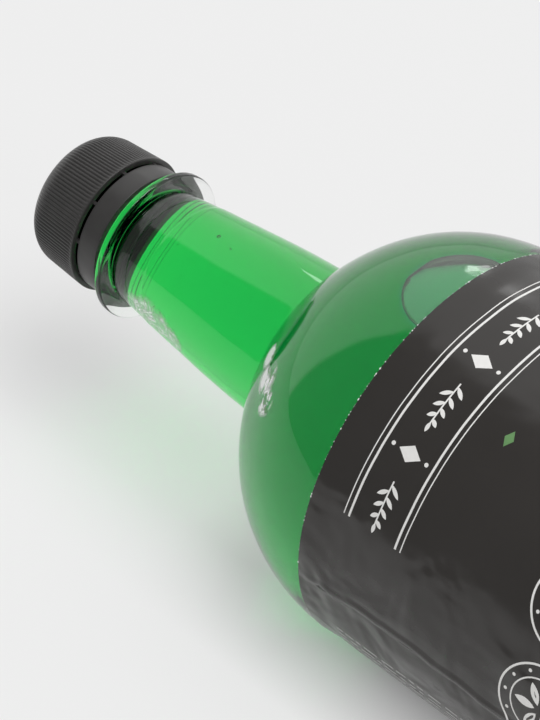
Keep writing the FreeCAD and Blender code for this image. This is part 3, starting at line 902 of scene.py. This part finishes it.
def film_grid():
    """Rows along the bottle and columns round it, closer together at the step and the fold."""
    rows = np.linspace(LABEL_START + EDGE_ROUNDING, STEP_START, 118)[:-1]
    step_rows = np.linspace(STEP_START, LABEL_END - EDGE_ROUNDING, 10)
    begin, end = round_length(SEAM_ANGLE - LAP / 2), round_length(SEAM_ANGLE + 360 + LAP / 2)
    low, high = round_length(FOLD_ANGLE - 9), round_length(FOLD_ANGLE + 9)
    return np.concatenate([[LABEL_START], rows, step_rows, [LABEL_END]]), np.concatenate([
        np.linspace(begin, low, 150)[:-1], np.linspace(low, high, 66)[:-1], np.linspace(high, end, 82),
    ])


def film_sheet():
    """A flat closed sheet: its face, its back and its four edges."""
    xs, ys = film_grid()
    grid_x, grid_y = np.meshgrid(xs, ys, indexing="ij")
    lap_start = ys[-1] - round_length(LAP)
    rise = LAP_RISE * faded(grid_y, lap_start - 2.0, lap_start - 0.2)
    edge = np.zeros_like(grid_x)
    edge[[0, -1], :] = EDGE_DROP
    face = np.stack([foot_x / MM + grid_x, grid_y, rise + edge + FACE_HEIGHT], -1)
    back = np.stack([foot_x / MM + grid_x, grid_y, rise + BACK_HEIGHT], -1)
    n, m = grid_x.shape
    points = np.vstack([face.reshape(-1, 3), back.reshape(-1, 3)]) * MM
    below = n * m
    faces = []
    for i in range(n - 1):
        for j in range(m - 1):
            a, b, c, d = i * m + j, (i + 1) * m + j, (i + 1) * m + j + 1, i * m + j + 1
            faces += [(a, b, c, d), (below + d, below + c, below + b, below + a)]
    for i in range(n - 1):
        a, b = i * m, (i + 1) * m
        faces.append((a, below + a, below + b, b))
        a, b = i * m + m - 1, (i + 1) * m + m - 1
        faces.append((b, below + b, below + a, a))
    for j in range(m - 1):
        faces.append((j, j + 1, below + j + 1, below + j))
        a = (n - 1) * m + j
        faces.append((a + 1, a, below + a, below + a + 1))
    return points, faces


film = Finish("black film")
label = wrapped(new_piece("film_label", *film_sheet()), film)
print("label faces", len(label.data.polygons))

# %% [markdown]
# The print is plain ornament of our own: a band of lozenges and leaf sprigs between thin rules, a row of
# round rosettes lower down, rows of short dashes and a green accent. Ink is a very thin layer on
# the film, so each colour is a thin closed slab, laid out flat and then bent by the same tree.

# %% Helpers for flat print
INK_TOP, INK_FOOT = 0.012, -0.03  # heights of a print's face and back over the film's middle


def two_layers(flat):
    """The points of a flat figure twice, as face and back, in metres in the frame."""
    return np.array([(x + foot_x / MM, y, h) for h in (INK_TOP, INK_FOOT) for x, y in flat]) * MM


def slab(outline):
    """A thin closed slab from a flat outline in mm (along the bottle, round the bottle)."""
    n = len(outline)
    faces = [tuple(range(n)), tuple(range(2 * n - 1, n - 1, -1))]
    faces += [(i, n + i, n + (i + 1) % n, (i + 1) % n) for i in range(n)]
    area = sum(a[0] * b[1] - b[0] * a[1] for a, b in zip(outline, outline[1:] + outline[:1]))
    return two_layers(outline), faces if area > 0 else turned_over(faces)


def stroke(line, width):
    """A line of even width as short quads, so that it bends round the bottle."""
    left, right = [], []
    for k, (x, y) in enumerate(line):
        x0, y0 = line[max(k - 1, 0)]
        x1, y1 = line[min(k + 1, len(line) - 1)]
        span = math.hypot(x1 - x0, y1 - y0)
        nx, ny = -(y1 - y0) / span * width / 2, (x1 - x0) / span * width / 2
        left.append((x + nx, y + ny))
        right.append((x - nx, y - ny))
    n = len(line)
    b = 2 * n  # where the back's points start
    faces = []
    for k in range(n - 1):
        quad = (k, k + 1, n + k + 1, n + k)
        faces += [quad, tuple(b + i for i in reversed(quad))]
        faces += [(k + 1, k, b + k, b + k + 1), (n + k, n + k + 1, b + n + k + 1, b + n + k)]
    faces += [(0, n, b + n, b), (2 * n - 1, n - 1, b + n - 1, b + 2 * n - 1)]
    return two_layers(left + right), faces


def on_circle(x, y, radius, degrees):
    a = math.radians(degrees)
    return x + radius * math.cos(a), y + radius * math.sin(a)


def circle(x, y, radius, steps):
    return [on_circle(x, y, radius, 360 * k / steps) for k in range(steps + 1)]


def dot(x, y, radius, steps=12):
    return slab(circle(x, y, radius, steps)[:-1])


def rule(x, y0, y1, width):
    steps = max(2, int(abs(y1 - y0) / 1.2))
    return stroke([(x, y0 + (y1 - y0) * k / steps) for k in range(steps + 1)], width)


def printed(name, parts, finish):
    piece = wrapped(raw_piece(name, *joined(parts)), finish)
    print(name, len(piece.data.polygons), "faces")
    return piece


# %% Ornament on the label
def leaf(x, y, length, breadth, turn):
    """A pointed leaf from its stem end."""
    c, s = math.cos(math.radians(turn)), math.sin(math.radians(turn))
    side = [(length * k / 8, breadth * math.sin(math.pi * k / 8) ** 0.8) for k in range(9)]
    shape = side + [(px, -py) for px, py in side[-2:0:-1]]
    return [(x + c * px - s * py, y + s * px + c * py) for px, py in shape]


def sprig(x, y):
    parts = [stroke([(x, y - 4.8), (x, y - 2.4), (x, y), (x, y + 2.4), (x, y + 4.0)], 0.3)]
    for k in range(7):
        side = 38 if k % 2 else 142
        parts.append(slab(leaf(x, y - 4.1 + 1.2 * k, 2.9 - 0.18 * k, 0.42, side)))
    parts.append(slab(leaf(x, y + 3.8, 2.0, 0.4, 90)))
    return parts


def lozenge(x, y, half_x, half_y):
    return slab([(x - half_x, y), (x, y - half_y), (x + half_x, y), (x, y + half_y)])


def ornament_band(x):
    """Sprigs and lozenges in turn, between a thick and a thin rule on either side."""
    parts = []
    for off, width in ((5.6, 0.45), (-5.6, 0.45), (6.8, 0.22), (-6.8, 0.22)):
        parts.append(rule(x + off, round_length(-66), round_length(66), width))
    for k in range(-4, 5):
        y = round_length(14.5) * k
        if k % 2 == 0:
            parts += sprig(x, y)
        else:
            parts += [lozenge(x, y, 2.5, 1.7), dot(x + 3.9, y, 0.42), dot(x - 3.9, y, 0.42)]
    return parts


def rosette(x, y):
    """Two rings with twelve dots between them and six leaves inside."""
    parts = [stroke(circle(x, y, 9.0, 60), 0.42), stroke(circle(x, y, 6.4, 48), 0.3)]
    parts += [dot(*on_circle(x, y, 7.7, turn), 0.36, 10) for turn in range(0, 360, 30)]
    parts += [slab(leaf(*on_circle(x, y, 1.1, turn), 4.4, 0.85, turn)) for turn in range(0, 360, 60)]
    return parts


def white_print():
    parts = ornament_band(150.6)
    for degrees in (23, 52, 81):
        parts += rosette(108.0, round_length(degrees))
    return parts


def green_print():
    sizes = ((9, 2.0, 3.4), (-9, 1.0, 1.7), (27, 1.0, 1.7))
    return [lozenge(136.5, round_length(degrees), half_x, half_y) for degrees, half_x, half_y in sizes]


def grey_print():
    """Six rows of dashes of uneven length, with the same draws in every run."""
    parts, draw = [], random.Random(4)
    for row in range(6):
        y = round_length(108) + row * 2.1
        x = 157.0
        while x > 62:
            length = draw.uniform(1.0, 3.4)
            parts.append(slab([(x, y - 0.3), (x, y + 0.3), (x - length, y + 0.3), (x - length, y - 0.3)]))
            x -= length + draw.uniform(0.6, 1.3)
    return parts


white_ink, green_ink, grey_ink = Finish("white ink"), Finish("green ink"), Finish("grey ink")
print_white = printed("print_white", white_print(), white_ink)
print_green = printed("print_green", green_print(), green_ink)
print_grey = printed("print_grey", grey_print(), grey_ink)

# %% [markdown]
# The cut edge of the film shows its white core where the blade nicked it. Such nicks follow the edge of
# the label with no rule to their size or spacing, so Geometry Nodes scatters small flakes along the edge.

# %% Nicks along the label's edge
NICK_HEIGHT, NICK_DEPTH = 0.06, 0.04


def nick_tree():
    t = Tree("edge nicks", nick_length="length", nick_width="length", seed="count", finish="material")
    flake = t.add("GeometryNodeMeshIcoSphere", Radius=1.0, Subdivisions=2)
    drawn = t.add(
        "FunctionNodeRandomValue", {"data_type": "FLOAT"}, out=1, _2=0.25, _3=1.0, Seed=t.input("seed"),
    )
    squared = t.calc("POWER", drawn, 2.0)  # most nicks are small, a few are not
    wide = t.product(t.input("nick_width"), t.total(squared, 0.25))
    size = t.vector(wide, t.product(t.input("nick_length"), squared), NICK_HEIGHT * MM)
    t.finish(t.add("GeometryNodeInstanceOnPoints", Points=t.geometry, Instance=flake, Scale=size))
    return t


def edge_spots():
    """Places along the label's edge, in flat form, most of them on the upper side."""
    draw, spots, angle = random.Random(11), [], -175.0
    while angle < 175:
        crowd = 2.4 if -30 < angle < 75 else 6.0
        angle += draw.uniform(0.15, 1.0) * crowd
        x = (foot_x / MM + LABEL_END - 0.02) * MM
        spots.append((x, round_length(angle) * MM, -NICK_DEPTH * MM))
    return spots


core_ink = Finish("film core")
nicks = raw_piece("label_edge_nicks", edge_spots())
print("nicks", len(nicks.data.vertices))
nick_tree().grow(nicks, nick_length=0.26 * MM, nick_width=0.12 * MM, seed=5, finish=core_ink.material)
wrapped(nicks, core_ink)
print("nick faces", len(nicks.data.polygons))

# %% [markdown]
# Clear plastic bends light more than the syrup does, and both are nearly perfectly smooth. The plastic
# gets a faint haze that varies. Under the support ring it has gritty white scuffs; at the neck's foot a
# streaky white patch is a painted highlight, a glint painted in as whiter, rougher plastic. Where plastic
# and syrup touch there is one border, not two, so "free" turns off the mirror image of both surfaces there.

# %% Clear plastic
NOTHING, ALL = (0, 0, 0, 1), (1, 1, 1, 1)
# how white and rough the patches get: gritty scuffs under the ring, and the painted highlight at the neck's
# foot
SCUFF_AND_GLINT_WHITE, SCUFF_AND_GLINT_ROUGHNESS = 0.92, 0.3
clear = Finish("clear plastic")
clear.set(Base_Color=(0.985, 0.99, 0.985, 1), IOR=1.575)
from_middle = clear.calc("ABSOLUTE", clear.calc("SUBTRACT", clear.noise(330, 4, 0.6, warp=1.2), 0.5))
grit = clear.between(from_middle, 0.0, 0.05, 1.0, 0.3)
# painted highlight: a streaky white pattern that stands in for the glint at the neck's foot
painted_glint_streaks = clear.between(clear.noise(330, 5, 0.7, stretch=(1.0, 0.35, 1.0), warp=0.4), 0.43, 0.5, 0.0, 1.0)
# distance down from the support ring, radius, angle in degrees, reach and pattern; all lengths in mm
# rows with the grit pattern are scuffs; rows with the streaky pattern are the painted highlight at the
# neck's foot
SCUFFS_AND_GLINT = (
    (8.5, 13.6, 103, 4.2, grit), (12.5, 14.0, 97, 4.8, grit), (16.0, 14.45, 98, 4.4, grit),
    (19.5, 14.85, 102, 3.8, grit), (54.0, 30.2, 46, 3.0, painted_glint_streaks), (57.6, 33.3, 51.5, 3.8, painted_glint_streaks),
    (60.6, 35.5, 57, 3.2, painted_glint_streaks),
)
patches = []
for down, r, turn, reach, pattern in SCUFFS_AND_GLINT:
    patch = clear.calc("MULTIPLY", clear.near(at(RING_X - down, r, turn), reach * MM), 2.4)
    patches.append(clear.calc("MULTIPLY", clear.calc("MINIMUM", patch, 1.0), pattern))
scuffs_and_glint = patches[0]
for patch in patches[1:]:
    scuffs_and_glint = clear.calc("MAXIMUM", scuffs_and_glint, patch)
haze = clear.uneven(clear.noise(60), 0.008, 0.02)
# the patches whiten the plastic: gritty scuffs under the ring, and a painted highlight at the neck's foot
clear.set(
    Roughness=clear.calc("ADD", haze, clear.calc("MULTIPLY", scuffs_and_glint, SCUFF_AND_GLINT_ROUGHNESS)),
    Transmission_Weight=clear.calc("SUBTRACT", 1.0, clear.calc("MULTIPLY", scuffs_and_glint, SCUFF_AND_GLINT_WHITE)),
    Specular_Tint=clear.blend(clear.attribute("free"), NOTHING, ALL),
)
clear.bump(clear.noise(55, 3, 0.5), 0.00006, 0.5)
print("scuffed spots", len(patches))

# %% [markdown]
# The syrup's colour is in its depth: it lets green through and takes up red and blue, so thin places look
# bright and deep places dark. That is what an absorbing volume does. The surface adds a little green of
# its own, by "tint". The steep edge of the air pocket gets a painted shade: a dark colour stands in for
# the dark outline that light gives it.

# %% Green syrup
# painted shade: the dark colour at the air pocket's edge stands in for its dark outline
SYRUP_GREEN, RIM_PAINTED_SHADE = (0.22, 1.0, 0.12, 1), (0.10, 0.16, 0.11, 1)
PASSED, DENSITY = (0.0, 0.895, 0.92, 1), 140.0
liquid = Finish("green syrup")
tinted = liquid.blend(liquid.attribute("tint"), ALL, SYRUP_GREEN)
liquid.set(
    IOR=1.45, Transmission_Weight=1.0, Base_Color=liquid.blend(liquid.attribute("rim_shade"), tinted, RIM_PAINTED_SHADE),
    Roughness=liquid.uneven(liquid.noise(40), 0.0, 0.004),
    Specular_Tint=liquid.blend(liquid.attribute("free"), NOTHING, ALL),
)
volume = liquid.nodes.new("ShaderNodeVolumeAbsorption")
volume.inputs["Color"].default_value = PASSED
volume.inputs["Density"].default_value = DENSITY
liquid.links.new(volume.outputs["Volume"], liquid.output.inputs["Volume"])
print("syrup absorbs with density", DENSITY)

# %% [markdown]
# The closure is matt moulded plastic with a faint grain, a little greyer and rougher where hands rub it.
# The film is glossier, shows faint smears and is puckered low on its side. Inks are matt and sit a shade
# unevenly, as print on film does.

# %% Black plastic and film
plastic.set(
    IOR=1.46, Roughness=plastic.uneven(plastic.noise(140, 5), 0.28, 0.42),
    Base_Color=plastic.blend(plastic.noise(300, 5), (0.030, 0.029, 0.028, 1), (0.046, 0.044, 0.043, 1)),
)
plastic.bump(plastic.noise(2600, 3), 0.00002, 0.35)

film.set(
    IOR=1.52, Roughness=film.uneven(film.noise(38, 6, 0.6), 0.14, 0.26),
    Base_Color=film.blend(film.noise(45, 5, 0.6), (0.021, 0.0185, 0.0165, 1), (0.031, 0.0275, 0.025, 1)),
)
low_side = film.between(film.coordinate("Z"), 0.045, 0.075, 1.0, 0.12)
puckers = film.calc("MULTIPLY", film.noise(75, 2.0, 0.5, warp=0.3), low_side)
grain = film.calc("MULTIPLY", film.noise(900, 4), 0.003)
film.bump(film.calc("ADD", puckers, grain), 0.0023)
print("finishes", plastic.material.name, "and", film.material.name)

# %% Inks
INKS = (
    (white_ink, (0.76, 0.75, 0.73, 1), (0.88, 0.87, 0.85, 1)),
    (green_ink, (0.10, 0.24, 0.09, 1), (0.16, 0.33, 0.12, 1)),
    (grey_ink, (0.33, 0.33, 0.32, 1), (0.5, 0.5, 0.49, 1)),
    (core_ink, (0.75, 0.75, 0.73, 1), (0.92, 0.92, 0.9, 1)),
)
for ink, low, high in INKS:
    ink.set(
        IOR=1.45, Roughness=ink.uneven(ink.noise(300), 0.35, 0.5),
        Base_Color=ink.blend(ink.noise(700, 4), low, high),
    )
    ink.bump(ink.noise(2500), 0.00001, 0.3)
print("inks", len(INKS))

# %% [markdown]
# Each row gives a piece, its finish, the packed node that it stands for and its slot. Each piece gets its
# finish and rides on the root body, and that node is hidden. The print and the nicks stand for no node of
# their own: the label's node is shown by the film.

# %% Hand each piece its finish and body, and hide the node it stands for
PIECES = (
    (bottle, clear, "bottle", "clear_plastic"),
    (syrup, liquid, "syrup", "green_syrup"),
    (cap, plastic, "cap", "black_closure"),
    (band, plastic, "cap", "black_closure"),
    (bridges, plastic, "cap", "black_closure"),
    (label, film, "label", "black_film"),
    (print_white, white_ink, None, "black_film"),
    (print_green, green_ink, None, "black_film"),
    (print_grey, grey_ink, None, "black_film"),
    (nicks, core_ink, None, "black_film"),
)
for piece, finish, node, slot in PIECES:
    piece.data.materials.clear()
    piece.data.materials.append(finish.material)
    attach(piece, "root")
    if node:
        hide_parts(node)
    print(piece.name, len(piece.data.polygons), "faces")

# %% [markdown]
# The bottle lies on a wide pale table. To the camera's eye the table is partly a plain glow of the same
# grey, which keeps the open table even. Close beside the bottle that share is small, so that its shadow
# and the green light that comes through the syrup stay.

# %% Table
TABLE_SIZE, TABLE_GLOW = 4.0, 0.86
NEAR_SIDE, FAR_SIDE = 0.022, 0.044  # sideways distance over which the table turns even
BODY_X, NECK_X = 0.045, 0.08
BODY_SHARE, NECK_SHARE, OPEN_SHARE, MIRROR_SHARE = 0.12, 0.52, 0.85, 0.4


def stage_plane(name, size):
    corners = [(-size, -size, 0), (size, -size, 0), (size, size, 0), (-size, size, 0)]
    plane = raw_piece(name, corners, [(0, 1, 2, 3)])
    plane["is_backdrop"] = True
    return plane


def table_look():
    look = Finish("pale table")
    pale = look.blend(look.noise(3), (0.86, 0.86, 0.86, 1), (0.88, 0.88, 0.88, 1))
    look.set(Roughness=0.6, Specular_IOR_Level=0.2, Base_Color=pale)
    glow = look.nodes.new("ShaderNodeEmission")
    glow.inputs["Color"].default_value = (TABLE_GLOW, TABLE_GLOW, TABLE_GLOW, 1)
    rays = look.nodes.new("ShaderNodeLightPath").outputs
    beside = look.between(look.calc("ABSOLUTE", look.coordinate("Y")), NEAR_SIDE, FAR_SIDE, 0.0, 1.0)
    close = look.between(look.coordinate("X"), BODY_X, NECK_X, BODY_SHARE, NECK_SHARE)
    seen = look.calc("MULTIPLY", rays["Is Camera Ray"], look.between(beside, 0.0, 1.0, close, OPEN_SHARE))
    mirrored = look.calc("MULTIPLY", rays["Is Glossy Ray"], MIRROR_SHARE)
    even = look.nodes.new("ShaderNodeMixShader")
    look.feed(even.inputs[0], look.calc("ADD", seen, mirrored))
    look.links.new(look.shader.outputs[0], even.inputs[1])
    look.links.new(glow.outputs[0], even.inputs[2])
    look.links.new(even.outputs[0], look.output.inputs["Surface"])
    return look.material


table = stage_plane("table", TABLE_SIZE)
table.data.materials.append(table_look())
print("table", 2 * TABLE_SIZE, "m wide")

# %% [markdown]
# One large soft lamp stands above and behind the bottle, so that shadows are soft and the light that went
# through the syrup lays a green glow on the table. A small lamp is the window whose reflection shows over
# the air pocket.

# %% Lamps
def area_lamp(name, place, aim, size, power):
    data = bpy.data.lights.new(name, "AREA")
    data.shape = "RECTANGLE"
    data.size, data.size_y = size
    data.energy = power
    lamp = bpy.data.objects.new(name, data)
    lamp.location = place
    lamp.rotation_mode = "QUATERNION"
    lamp.rotation_quaternion = (Vector(aim) - Vector(place)).to_track_quat("-Z", "Y")
    bpy.context.scene.collection.objects.link(lamp)
    print(name, power, "W")


area_lamp("main_lamp", (-0.42, -0.25, 1.35), (0.05, 0.0, 0.04), (1.0, 1.0), 11.5)
area_lamp("window_lamp", (1.06, -1.48, 0.94), (0.03, 0.0, 0.08), (0.3, 0.22), 0.6)

# %% [markdown]
# What clear plastic and liquid show is the room behind them. Their light comes from one bright side of
# the room, and the other side is dim, which gives the edges of the bottle their dark lines. For all other
# rays the room is even, and behind the table there is a pale wall.

# %% Room
BRIGHT_SIDE = (0.325, -0.928, -0.186)
BORDER_START, BORDER_END = -0.03, 0.05
DIM, BRIGHT, EVEN, WALL = 0.3, 1.0, 0.56, 0.855


def room_light():
    world = bpy.data.worlds.new("room")
    world.use_nodes = True
    nodes, links = world.node_tree.nodes, world.node_tree.links
    toward = nodes.new("ShaderNodeVectorMath")
    toward.operation = "DOT_PRODUCT"
    toward.inputs[1].default_value = BRIGHT_SIDE
    links.new(nodes.new("ShaderNodeTexCoord").outputs["Generated"], toward.inputs[0])
    border = nodes.new("ShaderNodeMapRange")
    border.interpolation_type = "SMOOTHSTEP"
    names = ("From Min", "From Max", "To Min", "To Max")
    for name, value in zip(names, (BORDER_START, BORDER_END, DIM, BRIGHT)):
        border.inputs[name].default_value = value
    links.new(toward.outputs["Value"], border.inputs["Value"])
    rays = nodes.new("ShaderNodeLightPath").outputs
    bent = nodes.new("ShaderNodeMath")
    bent.operation = "MAXIMUM"
    links.new(rays["Is Glossy Ray"], bent.inputs[0])
    links.new(rays["Is Transmission Ray"], bent.inputs[1])
    strength = nodes.new("ShaderNodeMix")
    strength.inputs[2].default_value = EVEN
    links.new(bent.outputs[0], strength.inputs[0])
    links.new(border.outputs["Result"], strength.inputs[3])
    room = nodes["Background"]
    room.inputs["Color"].default_value = ALL
    links.new(strength.outputs[0], room.inputs["Strength"])
    wall = nodes.new("ShaderNodeBackground")
    wall.inputs["Color"].default_value = (WALL, WALL, WALL, 1)
    either = nodes.new("ShaderNodeMixShader")
    links.new(rays["Is Camera Ray"], either.inputs[0])
    links.new(room.outputs[0], either.inputs[1])
    links.new(wall.outputs[0], either.inputs[2])
    links.new(either.outputs[0], nodes["World Output"].inputs["Surface"])
    return world


bpy.context.scene.world = room_light()
print("the room's bright side is", round(BRIGHT / DIM, 1), "times as bright as its dim side")

# %% [markdown]
# The camera looks down on neck and shoulder from above the closure, through a long lens. Light that was
# bent twice by smooth surfaces makes the green glow on the table. A renderer may blur such light away to
# save time, so that blur is set to none.

# %% Camera
CAMERA_PLACE, CAMERA_HEADING = (-0.2229, 0.3049, 0.4524), (0.5014, -0.5074, -0.7008)
camera_data = bpy.data.cameras.new("camera")
camera = bpy.data.objects.new("camera", camera_data)
bpy.context.scene.collection.objects.link(camera)
camera_data.lens = 150
camera_data.sensor_width = 36
camera_data.clip_start, camera_data.clip_end = 0.02, 50
forward = Vector(CAMERA_HEADING).normalized()
right = forward.cross(Vector((0, 0, 1))).normalized()
up = right.cross(forward)
camera.matrix_world = Matrix((right, up, -forward)).transposed().to_4x4()
camera.location = CAMERA_PLACE
bpy.context.scene.camera = camera
bpy.context.scene.view_settings.view_transform = "Standard"
bpy.context.scene.cycles.blur_glossy = 0.0
print("camera", round(camera.location.length, 3), "m from the origin")

# %% Size of the visual model
low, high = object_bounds()
print("visual box in mm", [round(1000 * (b - a), 2) for a, b in zip(low, high)])
